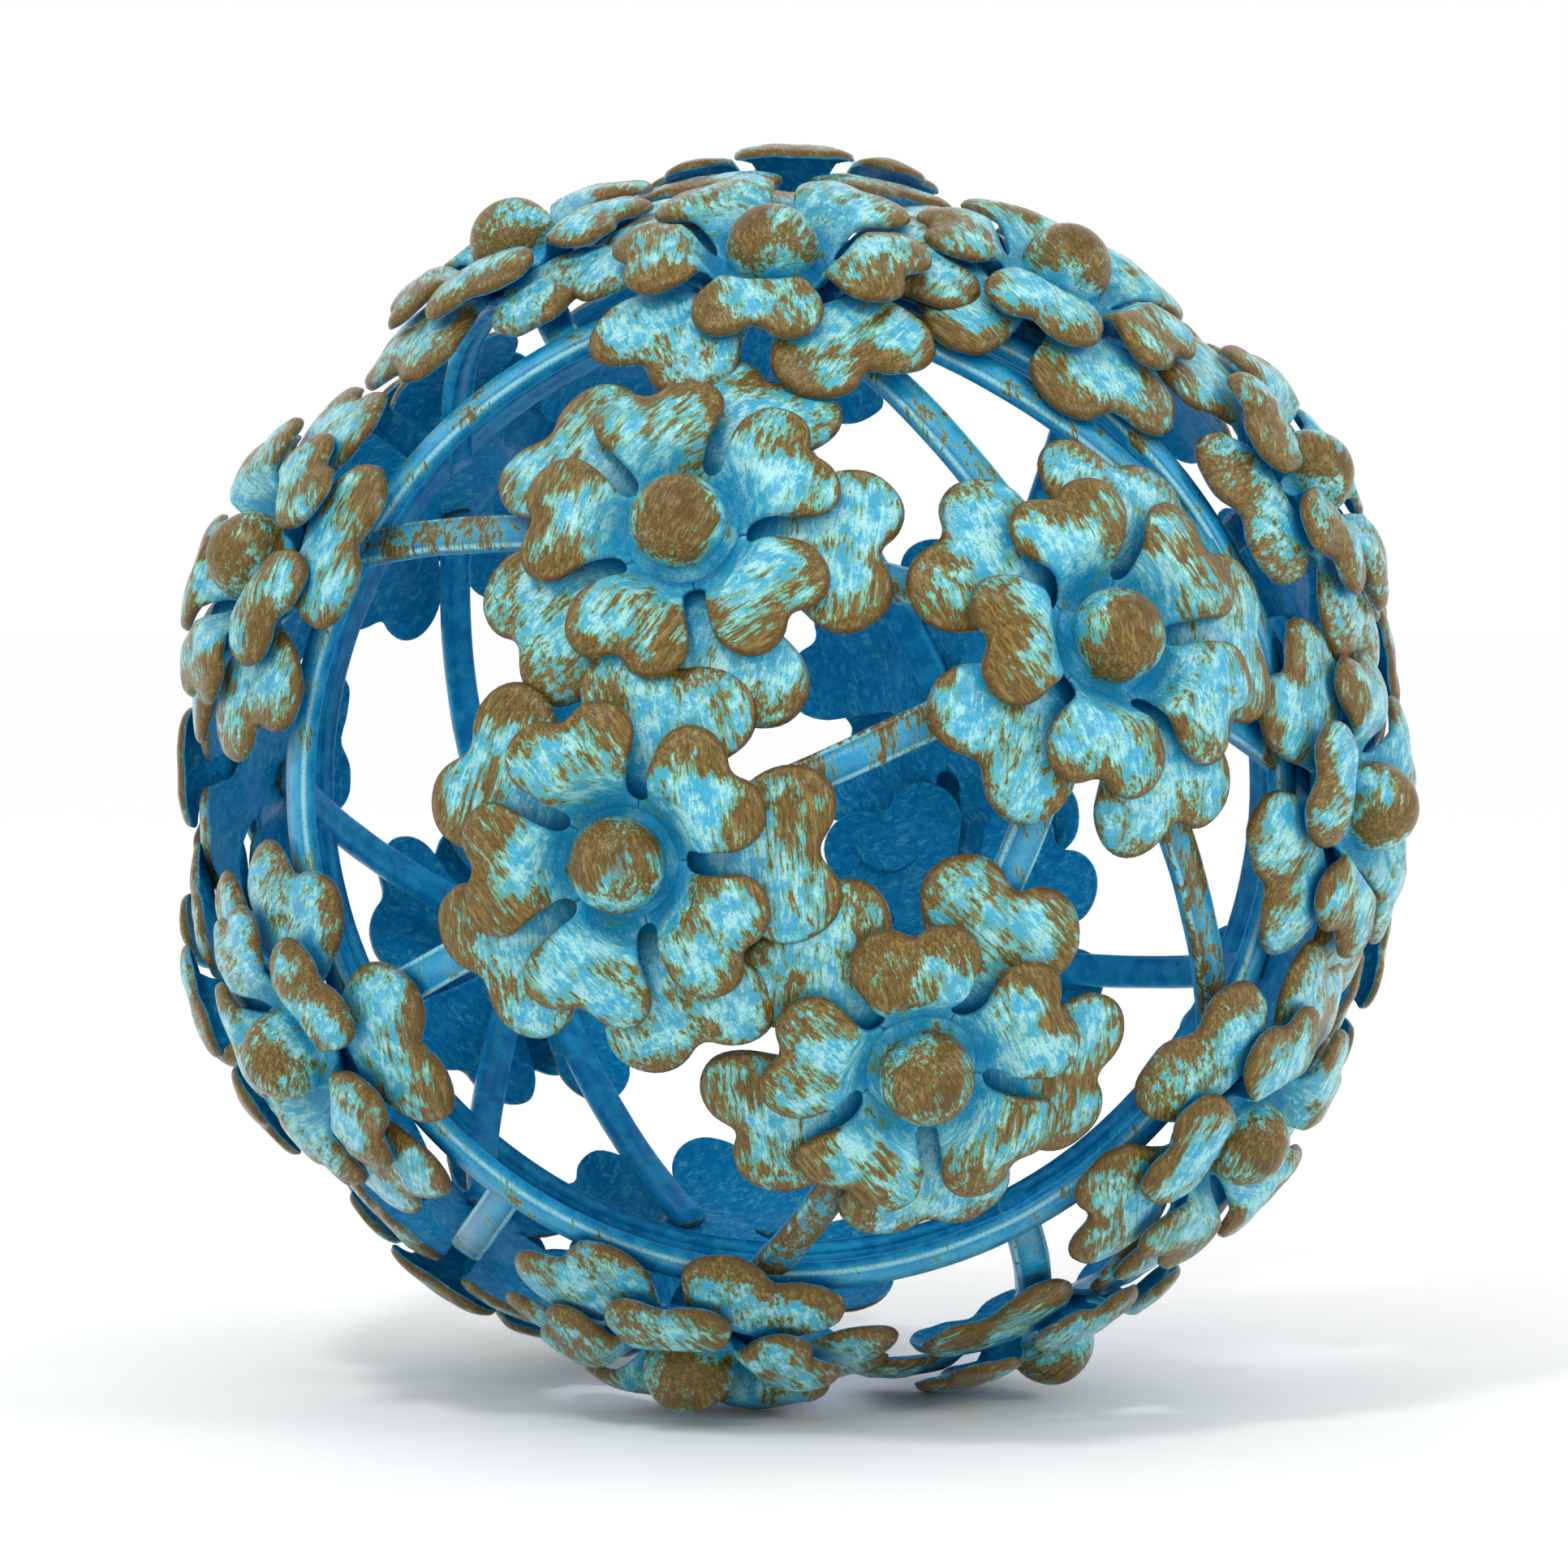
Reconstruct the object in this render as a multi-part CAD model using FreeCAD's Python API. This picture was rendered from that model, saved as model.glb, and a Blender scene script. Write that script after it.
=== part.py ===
"""Openwork metal flower ball, 150 mm across.

Two hoops and a set of curved struts, all of the same flat strip, make a round cage. Each of the 27
flowers on it is three pieces: a large five-petal blossom welded to the strips, a smaller blossom turned
half a petal on top of it, and a round bead in the middle. The ball stands on the tips of three petals.

Units are millimetres. A place on the ball is (clock, polar) in degrees. Polar is the angle away from the
front of the ball, and clock is the direction of that tilt seen from the front: 0 is right, 90 is up.
"""

import FreeCAD, Part
import math
import os
from FreeCAD import Placement, Rotation, Vector

# Strips: hoops and struts
FRAME_RADIUS = 65.6  # ball centre to the strips' outer face
STRIP_WIDTH = 4.4
STRIP_THICKNESS = 1.8
STRIP_BEVEL = 0.4
FRONT_HOOP_POLAR = 54.8
BACK_HOOP_POLAR = 118
HOOPS = {"front_hoop": FRONT_HOOP_POLAR, "back_hoop": BACK_HOOP_POLAR}
STRUT_END_GAP = 4.2  # a strut's end to the axis of the blossom it is welded to

# Blossoms: sheet metal with a round middle, a conical flank, then petals that follow the ball
SHEET = 0.9
PETALS = 5
MIDDLE_RADIUS = 6.0
FLANK_RADIUS = 11.0
CUP = {True: 1.3, False: 0.0}  # how much further out the petals of a "high" flower stand
NOTCH_RADIUS = 1.1
OUTER_PETAL = {"lobe_x": 17.0, "lobe_y": 4.5, "lobe_r": 4.9, "slot_x": 8.4, "slot_r": 1.5, "shell_r": 67.6}
INNER_PETAL = {"lobe_x": 12.7, "lobe_y": 3.3, "lobe_r": 3.8, "slot_x": 7.2, "slot_r": 1.1, "shell_r": 70.6}

# Beads
BEAD_RADIUS = 5.0
BEAD_SINK = 2.8  # bead centre above its seat, so the bead has an area to sit on

# name: (clock, polar, spin, high). Spin is the direction that one large petal points in.
FLOWERS = {
    "front_1": (-156, 16, 3, True),
    "front_2": (113, 25, 67, False),
    "front_3": (25, 32, 6, True),
    "front_4": (-65, 28, 61, False),
    "shoulder_1": (92, 55, 12, True),
    "shoulder_2": (62, 66, 61, False),
    "shoulder_3": (31, 73, 67, True),
    "shoulder_4": (-2, 65, 60, False),
    "shoulder_5": (-38, 63, 54, True),
    "shoulder_6": (-100, 68, 58, False),
    "shoulder_7": (-152, 62, 12, False),
    "shoulder_8": (157, 66, 66, True),
    "side_1": (90, 98, 20, True),
    "side_2": (57, 104, 57, False),
    "side_3": (17, 103, 44, False),
    "side_4": (-20, 108, 30, True),
    "side_5": (-65, 85, 57, False),
    "side_6": (-100, 119, 54, True),
    "side_7": (-125, 103, 19, False),
    "side_8": (177, 107, 25, False),
    "side_9": (138, 123, 64, True),
    "side_10": (117, 76, 20, False),
    "side_11": (-156, 97, 10, True),
    "back_1": (23, 160, 0, True),
    "back_2": (-49, 154, 41, False),
    "back_3": (-149, 144, 2, True),
    "back_4": (100, 126, 30, False),
}
# The ball stands on one petal tip of each of these flowers: (petal of the small blossom, left or right lobe).
FEET = {"shoulder_6": (3, -1), "side_5": (2, -1), "side_6": (0, -1)}

# Each strut runs along the ball from one flower to another, or to a bare (clock, polar) place on a hoop.
STRUTS = {
    "front_struts": [
        ("front_3", "shoulder_4"),
        ("front_3", "shoulder_3"),
        ("front_3", "shoulder_5"),
        ("front_3", "front_4"),
        ("front_3", "front_1"),
        ("front_3", "front_2"),
        ("front_3", "shoulder_1"),
        ("front_2", "shoulder_8"),
        ("front_1", "shoulder_7"),
        ("front_4", "shoulder_6"),
        ("shoulder_1", "shoulder_4"),
    ],
    "side_struts": [
        ("shoulder_2", (62, FRONT_HOOP_POLAR)),
        ("side_10", (117, FRONT_HOOP_POLAR)),
        ("side_10", "side_9"),
        ("side_2", "shoulder_2"),
        ("side_3", "shoulder_3"),
        ("side_5", (-62, FRONT_HOOP_POLAR)),
        ("side_5", (-62, BACK_HOOP_POLAR)),
        ("side_7", (-125, FRONT_HOOP_POLAR)),
        ("side_11", "shoulder_7"),
    ],
    "back_struts": [
        ("back_3", "side_9"),
        ("back_3", "side_8"),
        ("back_3", "side_7"),
        ("back_3", "side_6"),
        ("back_3", "back_2"),
        ("back_2", "side_4"),
        ("back_1", "side_3"),
        ("back_1", "side_2"),
        ("back_1", "back_4"),
        ("back_4", "side_1"),
        ("back_4", "back_3"),
    ],
}

MIN_STRUT_VOLUME = 8.0  # mm3: an offcut smaller than this is scrap, not a strut


def direction(clock, polar):
    """Unit vector to a place on the ball, before the ball is stood on its feet. The front faces -Y."""
    c, p = math.radians(clock), math.radians(polar)
    return Vector(math.sin(p) * math.cos(c), -math.cos(p), math.sin(p) * math.sin(c))


def flower_placement(name):
    """Frame of a flower: Z out of the ball, X along one large petal, origin at the ball's centre."""
    clock, polar, spin, _ = FLOWERS[name]
    c, p, turn = math.radians(clock), math.radians(polar), math.radians(spin - clock)
    outward = Vector(math.cos(p) * math.cos(c), math.sin(p), math.cos(p) * math.sin(c))
    around = Vector(-math.sin(c), 0, math.cos(c))
    x = outward * math.cos(turn) + around * math.sin(turn)
    z = direction(clock, polar)
    return Placement(Vector(), Rotation(x, z.cross(x), z))


def arc(start, middle, end):
    return Part.Arc(start, middle, end).toShape()


def face_points(radius, inset):
    """One face of the strip's section and the bevels beside it, from side to side in the XZ plane."""
    half = STRIP_WIDTH / 2
    z = half - STRIP_BEVEL
    x = math.sqrt(radius**2 - z**2)
    beside = x + inset * STRIP_BEVEL
    return [Vector(beside, 0, -half), Vector(x, 0, -z), Vector(radius, 0, 0), Vector(x, 0, z), Vector(beside, 0, half)]


def strip_section():
    """Section of the strip. Both faces follow the ball, so everything welded on fits them."""
    outer = face_points(FRAME_RADIUS, -1)
    inner = face_points(FRAME_RADIUS - STRIP_THICKNESS, 1)
    edges = [Part.makeLine(outer[0], inner[0]), Part.makeLine(outer[4], inner[4])]
    for face in (outer, inner):
        edges += [Part.makeLine(face[0], face[1]), arc(face[1], face[2], face[3]), Part.makeLine(face[3], face[4])]
    return Part.Face(Part.Wire(Part.sortEdges(edges)[0]))


def clearance_section():
    """As wide as the strip and much thicker: what a strip takes away from the ones that meet it."""
    low, high = FRAME_RADIUS - 3 * STRIP_THICKNESS, FRAME_RADIUS + 2 * STRIP_THICKNESS
    half = STRIP_WIDTH / 2
    corners = [(low, -half), (high, -half), (high, half), (low, half), (low, -half)]
    return Part.Face(Part.makePolygon([Vector(x, 0, z) for x, z in corners]))


def hoop(section, polar):
    """Closed ring that lies on the ball at one polar angle."""
    turned_section = section.copy()
    turned_section.rotate(Vector(), Vector(0, 1, 0), polar - 90)
    ring = turned_section.revolve(Vector(), Vector(0, 0, 1), 360)
    ring.Placement = Placement(Vector(), Rotation(Vector(1, 0, 0), 90))
    return ring


def end_of(place):
    """(direction, gap) for one end of a strut: a flower's name or a (clock, polar) pair."""
    if isinstance(place, str):
        return direction(*FLOWERS[place][:2]), STRUT_END_GAP
    return direction(*place), 0.0


def strut(section, start, end):
    """Bar that runs along the ball from one place to the other."""
    (a, gap_a), (b, gap_b) = end_of(start), end_of(end)
    axis = a.cross(b).normalize()
    skip_a, skip_b = (math.degrees(gap / FRAME_RADIUS) for gap in (gap_a, gap_b))
    sweep = math.degrees(a.getAngle(b)) - skip_a - skip_b
    bar = section.revolve(Vector(), Vector(0, 0, 1), sweep)
    bar.Placement = Placement(Vector(), Rotation(a, axis.cross(a), axis) * Rotation(Vector(0, 0, 1), skip_a))
    return bar


def fitted_struts(pairs, clearances):
    """Struts in order, each cut back where it meets a strip that is already in place."""
    made = []
    for start, end in pairs:
        bar = strut(strip_section(), start, end)
        for clearance in clearances:
            if bar.BoundBox.intersect(clearance.BoundBox):
                bar = bar.cut(clearance)
        made += [piece for piece in bar.Solids if piece.Volume > MIN_STRUT_VOLUME]
        clearances.append(strut(clearance_section(), start, end))
    return made


def tangent_points(slot, slot_r, lobe, lobe_r):
    """Ends of the straight petal side that touches the slot's round end and then the lobe."""
    between = lobe - slot
    lean = math.asin((slot_r + lobe_r) / between.Length)
    heading = math.atan2(between.y, between.x) - lean
    normal = Vector(-math.sin(heading), math.cos(heading), 0)
    return slot + normal * slot_r, lobe - normal * lobe_r


def mirrored(point):
    return Vector(point.x, -point.y, 0)


def turned(point, angle):
    return Rotation(Vector(0, 0, 1), angle).multVec(point)


def lobe_rim(name, petal, side):
    """Points round one lobe of a flower's small blossom, on its outer face, before the ball is stood up."""
    place = flower_placement(name)
    turn = (petal + 0.5) * 360 / PETALS
    lobe = Vector(INNER_PETAL["lobe_x"], side * INNER_PETAL["lobe_y"], 0)
    shell = INNER_PETAL["shell_r"] + CUP[FLOWERS[name][3]] + SHEET
    rim = []
    for degrees in range(360):
        flat = turned(lobe + turned(Vector(INNER_PETAL["lobe_r"], 0, 0), degrees), turn)
        rim.append(place.multVec(flat + Vector(0, 0, math.sqrt(shell**2 - flat.Length**2))))
    return rim


def standing_placement():
    """Turns the ball so that the petals it stands on are level, and lifts them onto the ground."""
    rims = [lobe_rim(name, *lobe) for name, lobe in FEET.items()]
    down = Vector(0, 0, -1)
    for _ in range(20):
        a, b, c = (max(rim, key=down.dot) for rim in rims)
        down = (b - a).cross(c - a).normalize()
        down = down * math.copysign(1, down.dot(a))
    return Placement(Vector(0, 0, down.dot(a)), Rotation(down, Vector(0, 0, -1)))


def blossom_outline(petal):
    """Closed outline of five heart-shaped petals, the first one along +X."""
    step = 360 / PETALS
    lobe = Vector(petal["lobe_x"], petal["lobe_y"], 0)
    notch_x = lobe.x + math.sqrt((petal["lobe_r"] + NOTCH_RADIUS) ** 2 - lobe.y**2)
    notch = Vector(notch_x, 0, 0)
    slot = turned(Vector(petal["slot_x"], 0, 0), step / 2)
    side_in, side_out = tangent_points(mirrored(slot), petal["slot_r"], mirrored(lobe), petal["lobe_r"])
    at_notch = lobe + (notch - lobe).normalize() * petal["lobe_r"]
    lobe_tip = lobe + Vector(lobe.x, lobe.y, 0).normalize() * petal["lobe_r"]
    slot_end = turned(Vector(petal["slot_x"] - petal["slot_r"], 0, 0), step / 2)
    edges = []
    for number in range(PETALS):
        angle = number * step

        def at(point):
            return turned(point, angle)

        edges += [
            Part.makeLine(at(side_in), at(side_out)),
            arc(at(side_out), at(mirrored(lobe_tip)), at(mirrored(at_notch))),
            arc(at(mirrored(at_notch)), at(notch - Vector(NOTCH_RADIUS, 0, 0)), at(at_notch)),
            arc(at(at_notch), at(lobe_tip), at(mirrored(side_out))),
            Part.makeLine(at(mirrored(side_out)), at(mirrored(side_in))),
            arc(at(mirrored(side_in)), at(slot_end), turned(side_in, angle + step)),
        ]
    return Part.Wire(edges)


def dish_profile(middle_radius, shell_radius):
    """Points of one face of a dish: three on its middle, then three on its shell, from the axis outwards."""
    reach = 30.0
    on_middle = [(r, middle_radius) for r in (0, MIDDLE_RADIUS / 2, MIDDLE_RADIUS)]
    on_shell = [(r, shell_radius) for r in (FLANK_RADIUS, (FLANK_RADIUS + reach) / 2, reach)]
    return [Vector(r, 0, math.sqrt(radius**2 - r**2)) for r, radius in on_middle + on_shell]


def dish(base, shell_radius):
    """Round sheet about the Z axis. Its middle and its outer band are parts of two spheres about the
    ball's centre, and a conical flank joins them."""
    low = dish_profile(base, shell_radius)
    high = dish_profile(base + SHEET, shell_radius + SHEET)
    edges = [
        arc(low[0], low[1], low[2]),
        Part.makeLine(low[2], low[3]),
        arc(low[3], low[4], low[5]),
        Part.makeLine(low[5], high[5]),
        arc(high[5], high[4], high[3]),
        Part.makeLine(high[3], high[2]),
        arc(high[2], high[1], high[0]),
        Part.makeLine(high[0], low[0]),
    ]
    return Part.Face(Part.Wire(edges)).revolve(Vector(), Vector(0, 0, 1), 360)


def blossom(petal, base, cup):
    """One stamped blossom on the Z axis, at its own distance from the ball's centre."""
    outline = Part.Face(blossom_outline(petal))
    outline.translate(Vector(0, 0, FRAME_RADIUS / 2))
    cutter = outline.extrude(Vector(0, 0, FRAME_RADIUS))
    return dish(base, petal["shell_r"] + cup).common(cutter).Solids[0]


def bead():
    """Ball with a hollow underneath that fits the small blossom's middle."""
    seat = FRAME_RADIUS + 2 * SHEET
    ball = Part.makeSphere(BEAD_RADIUS, Vector(0, 0, seat + BEAD_SINK))
    return ball.cut(Part.makeSphere(seat)).Solids[0]


def placed_copy(shape, placement):
    copy = shape.copy()
    copy.Placement = placement.multiply(copy.Placement)
    return copy


def build():
    """{node name: shape} for the whole ball, standing on the ground."""
    stand = standing_placement()
    nodes = {name: hoop(strip_section(), polar) for name, polar in HOOPS.items()}
    clearances = [hoop(clearance_section(), polar) for polar in HOOPS.values()]
    for name, pairs in STRUTS.items():
        nodes[name] = Part.makeCompound(fitted_struts(pairs, clearances))
    nodes = {name: placed_copy(shape, stand) for name, shape in nodes.items()}

    outer = {high: blossom(OUTER_PETAL, FRAME_RADIUS, cup) for high, cup in CUP.items()}
    inner = {high: blossom(INNER_PETAL, FRAME_RADIUS + SHEET, cup) for high, cup in CUP.items()}
    half_petal = Placement(Vector(), Rotation(Vector(0, 0, 1), 180 / PETALS))
    beads = []
    for name, (_, _, _, high) in FLOWERS.items():
        place = stand.multiply(flower_placement(name))
        nodes[f"outer_blossom_{name}"] = placed_copy(outer[high], place)
        nodes[f"inner_blossom_{name}"] = placed_copy(inner[high], place.multiply(half_petal))
        beads.append(placed_copy(bead(), place))
    nodes["beads"] = Part.makeCompound(beads)
    return nodes


def main():
    os.makedirs("parts", exist_ok=True)
    for name, shape in build().items():
        shape.exportStep(f"parts/{name}.step")


main()
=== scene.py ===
import math
import random

import bpy
import numpy as np
from mathutils import Matrix, Vector, noise


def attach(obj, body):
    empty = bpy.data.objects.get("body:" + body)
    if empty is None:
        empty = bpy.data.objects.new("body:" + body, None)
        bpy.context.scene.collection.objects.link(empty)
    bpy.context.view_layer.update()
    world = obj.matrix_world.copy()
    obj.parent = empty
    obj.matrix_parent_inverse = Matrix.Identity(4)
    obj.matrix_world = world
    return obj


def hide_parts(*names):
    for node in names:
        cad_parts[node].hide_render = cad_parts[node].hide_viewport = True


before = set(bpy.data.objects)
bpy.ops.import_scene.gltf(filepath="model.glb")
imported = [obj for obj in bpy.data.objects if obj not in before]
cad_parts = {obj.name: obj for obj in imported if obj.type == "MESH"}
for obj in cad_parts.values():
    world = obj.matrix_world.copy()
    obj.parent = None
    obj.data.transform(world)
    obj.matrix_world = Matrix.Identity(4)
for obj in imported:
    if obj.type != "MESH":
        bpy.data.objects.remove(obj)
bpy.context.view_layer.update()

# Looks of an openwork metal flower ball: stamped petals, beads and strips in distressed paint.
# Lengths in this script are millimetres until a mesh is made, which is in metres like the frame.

MM = 0.001

# The layout, as in the part's source. flower: (clock, polar, spin, high), the first three in degrees.
FLOWERS = {
    "front_1": (-156, 16, 3, True),
    "front_2": (113, 25, 67, False),
    "front_3": (25, 32, 6, True),
    "front_4": (-65, 28, 61, False),
    "shoulder_1": (92, 55, 12, True),
    "shoulder_2": (62, 66, 61, False),
    "shoulder_3": (31, 73, 67, True),
    "shoulder_4": (-2, 65, 60, False),
    "shoulder_5": (-38, 63, 54, True),
    "shoulder_6": (-100, 68, 58, False),
    "shoulder_7": (-152, 62, 12, False),
    "shoulder_8": (157, 66, 66, True),
    "side_1": (90, 98, 20, True),
    "side_2": (57, 104, 57, False),
    "side_3": (17, 103, 44, False),
    "side_4": (-20, 108, 30, True),
    "side_5": (-65, 85, 57, False),
    "side_6": (-100, 119, 54, True),
    "side_7": (-125, 103, 19, False),
    "side_8": (177, 107, 25, False),
    "side_9": (138, 123, 64, True),
    "side_10": (117, 76, 20, False),
    "side_11": (-156, 97, 10, True),
    "back_1": (23, 160, 0, True),
    "back_2": (-49, 154, 41, False),
    "back_3": (-149, 144, 2, True),
    "back_4": (100, 126, 30, False),
}
# Which way the paint was brushed over a flower, in degrees as seen from the front. Others are seeded.
BRUSH = {"front_1": 106, "front_2": 62, "front_3": 100, "front_4": 112, "shoulder_1": 75, "shoulder_8": 95}

PETALS = 5
FRAME_RADIUS = 65.6
FRONT_HOOP_POLAR = 54.8
BACK_HOOP_POLAR = 118
CUP = {True: 1.3, False: 0.0}
SHEET = 0.9
BEAD_RADIUS = 5.0
BEAD_SINK = 2.8  # bead centre above its seat
BEAD_RINGS = 22
BEAD_AROUND = 48

STRIP_WIDTH = 4.0
STRIP_THICKNESS = 1.8
STRIP_CORNER = 0.65
STRIP_CROWN = 0.12  # how much the outer face bulges
STRUT_END_GAP = 4.2  # a strut's end to the axis of the blossom it is welded to
STRUT_DROP = 0.2  # struts lie this much lower than hoops
STRUTS = {
    "front_struts": [
        ("front_3", "shoulder_4"), ("front_3", "shoulder_3"), ("front_3", "shoulder_5"),
        ("front_3", "front_4"), ("front_3", "front_1"), ("front_3", "front_2"),
        ("front_3", "shoulder_1"), ("front_2", "shoulder_8"), ("front_1", "shoulder_7"),
        ("front_4", "shoulder_6"), ("shoulder_1", "shoulder_4"),
    ],
    "side_struts": [
        ("shoulder_2", (62, FRONT_HOOP_POLAR)), ("side_10", (117, FRONT_HOOP_POLAR)), ("side_10", "side_9"),
        ("side_2", "shoulder_2"), ("side_3", "shoulder_3"), ("side_5", (-62, FRONT_HOOP_POLAR)),
        ("side_5", (-62, BACK_HOOP_POLAR)), ("side_7", (-125, FRONT_HOOP_POLAR)), ("side_11", "shoulder_7"),
    ],
    "back_struts": [
        ("back_3", "side_9"), ("back_3", "side_8"), ("back_3", "side_7"), ("back_3", "side_6"),
        ("back_3", "back_2"), ("back_2", "side_4"), ("back_1", "side_3"),
        ("back_1", "side_2"), ("back_1", "back_4"), ("back_4", "side_1"), ("back_4", "back_3"),
    ],
}
STRIP_BRUSH = math.radians(100)
# How much gold-brown a strut has; the others have little
GILT = {
    ("front_3", "front_1"): 0.3, ("front_2", "shoulder_8"): 0.45, ("front_4", "shoulder_6"): 0.6,
    ("front_3", "shoulder_5"): 0.4,
}

# Stampings in mm. Along a petal's middle: slot_r and slot_w place and size the slots between petals,
# and notch_r rounds the notch between its two lobes. In section: the middle lies on base, the flank
# rises from the hub radius to the flank radius, and the petals follow shell. dome is how much higher
# a petal is away from its edges, and curl how far its tip bends down. gilt shifts its gold-brown.
OUTER = {
    "lobe_x": 17.1, "lobe_y": 4.4, "lobe_r": 4.9, "slot_r": 9.0, "slot_w": 1.5, "notch_r": 2.0,
    "base": FRAME_RADIUS + SHEET, "shell": 68.7, "hub": 6.0, "flank": 12.5,
    "dome": 0.6, "curl": 0.4, "gilt": -0.09,
}
INNER = {
    "lobe_x": 12.9, "lobe_y": 3.2, "lobe_r": 3.8, "slot_r": 7.9, "slot_w": 1.15, "notch_r": 1.8,
    "base": FRAME_RADIUS + 2 * SHEET, "shell": 71.8, "hub": 4.8, "flank": 10.5,
    "dome": 0.6, "curl": 0.35, "gilt": 0.05,
}
RIM = 0.3  # radius over which a stamping's edge is rounded
LIP_WIDTH = 1.3  # a petal's surface falls off over this distance to its edge
CROWN_WIDTH = 4.2  # and is highest this far from it
CROSS_STEPS = 9  # mesh steps from a petal's middle line to its side
BUMP_DEPTH = 0.0002  # metres of relief in the paint
SHADE_DISTANCE = 0.004  # metres within which another surface darkens the paint as painted shade

CAMERA_DISTANCE = 0.579  # metres from the ball's centre
CAMERA_ELEVATION = 1.8  # degrees
CAMERA_LENS = 115.4
CAMERA_SHIFT = (-0.0047, 0.0005)
# Soft lights: place in metres from the ball's centre, side of the square in metres, watts
LIGHTS = {"key": ((-0.3, -0.6, 0.75), 0.11, 2.5), "side": ((0.75, -0.45, 0.38), 0.18, 1.5)}
FLOOR_SIZE = 80


def direction(clock, polar):
    """Unit vector to a place on the ball, before the ball is placed. The front faces -Y."""
    c, p = math.radians(clock), math.radians(polar)
    return Vector((math.sin(p) * math.cos(c), -math.cos(p), math.sin(p) * math.sin(c)))


def node_middle(name):
    """Mean of a CAD node's vertices."""
    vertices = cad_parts[name].data.vertices
    return sum((v.co for v in vertices), Vector()) / len(vertices)


def ball_placement():
    """Places the ball as the frame has it, read from the middles of its two hoops. The stance leans the
    ball only forward or back, so the hoops' common axis is enough."""
    front, back = node_middle("front_hoop"), node_middle("back_hoop")
    reach = math.cos(math.radians(FRONT_HOOP_POLAR)) - math.cos(math.radians(BACK_HOOP_POLAR))
    centre = front + (back - front) * math.cos(math.radians(FRONT_HOOP_POLAR)) / reach
    turn = Vector((0, -1, 0)).rotation_difference(front - back)
    return Matrix.Translation(centre) @ turn.to_matrix().to_4x4() @ Matrix.Scale(MM, 4)


BALL = ball_placement()
CENTRE = BALL.translation


def flower_matrix(name):
    """From a flower's own frame in mm, Z outwards and X along a large petal, to the scene."""
    clock, polar, spin, _ = FLOWERS[name]
    c, p, turn = math.radians(clock), math.radians(polar), math.radians(spin - clock)
    outward = Vector((math.cos(p) * math.cos(c), math.sin(p), math.cos(p) * math.sin(c)))
    around = Vector((-math.sin(c), 0, math.cos(c)))
    x = outward * math.cos(turn) + around * math.sin(turn)
    z = direction(clock, polar)
    y = z.cross(x)
    return BALL @ Matrix((x, y, z)).transposed().to_4x4()


# ---------------------------------------------------------------- stamped petals

def arc_points(centre, radius, start, end, steps):
    """Points on an arc between two directions in degrees, without the first one."""
    turns = [math.radians(start + (end - start) * k / steps) for k in range(1, steps + 1)]
    return [(centre[0] + radius * math.cos(t), centre[1] + radius * math.sin(t)) for t in turns]


def half_outline(shape):
    """Lower half of a petal along +X, from the end of the slot below it, round the lobe, to its notch."""
    step = math.radians(180 / PETALS)
    slot = np.array([math.cos(step), -math.sin(step)]) * shape["slot_r"]
    lobe = np.array([shape["lobe_x"], -shape["lobe_y"]])
    between = lobe - slot
    lean = math.asin((shape["slot_w"] + shape["lobe_r"]) / np.hypot(*between))
    normal = math.degrees(math.atan2(between[1], between[0]) - lean) + 90
    notch_x = lobe[0] + math.sqrt((shape["lobe_r"] + shape["notch_r"]) ** 2 - lobe[1] ** 2)
    to_notch = math.degrees(math.atan2(-lobe[1], notch_x - lobe[0]))
    start_way = 180 - math.degrees(step)
    points = arc_points(slot, shape["slot_w"], start_way, start_way, 1)
    points += arc_points(slot, shape["slot_w"], start_way, normal, 4)
    touch = arc_points(lobe, shape["lobe_r"], 0, normal - 180, 1)[0]
    last = points[-1]
    points += [tuple(np.array(last) + (np.array(touch) - last) * k / 4) for k in range(1, 5)]
    points += arc_points(lobe, shape["lobe_r"], normal - 180, to_notch, 16)
    points += arc_points((notch_x, 0), shape["notch_r"], to_notch + 180, 180, 3)
    return np.array(points)


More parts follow.
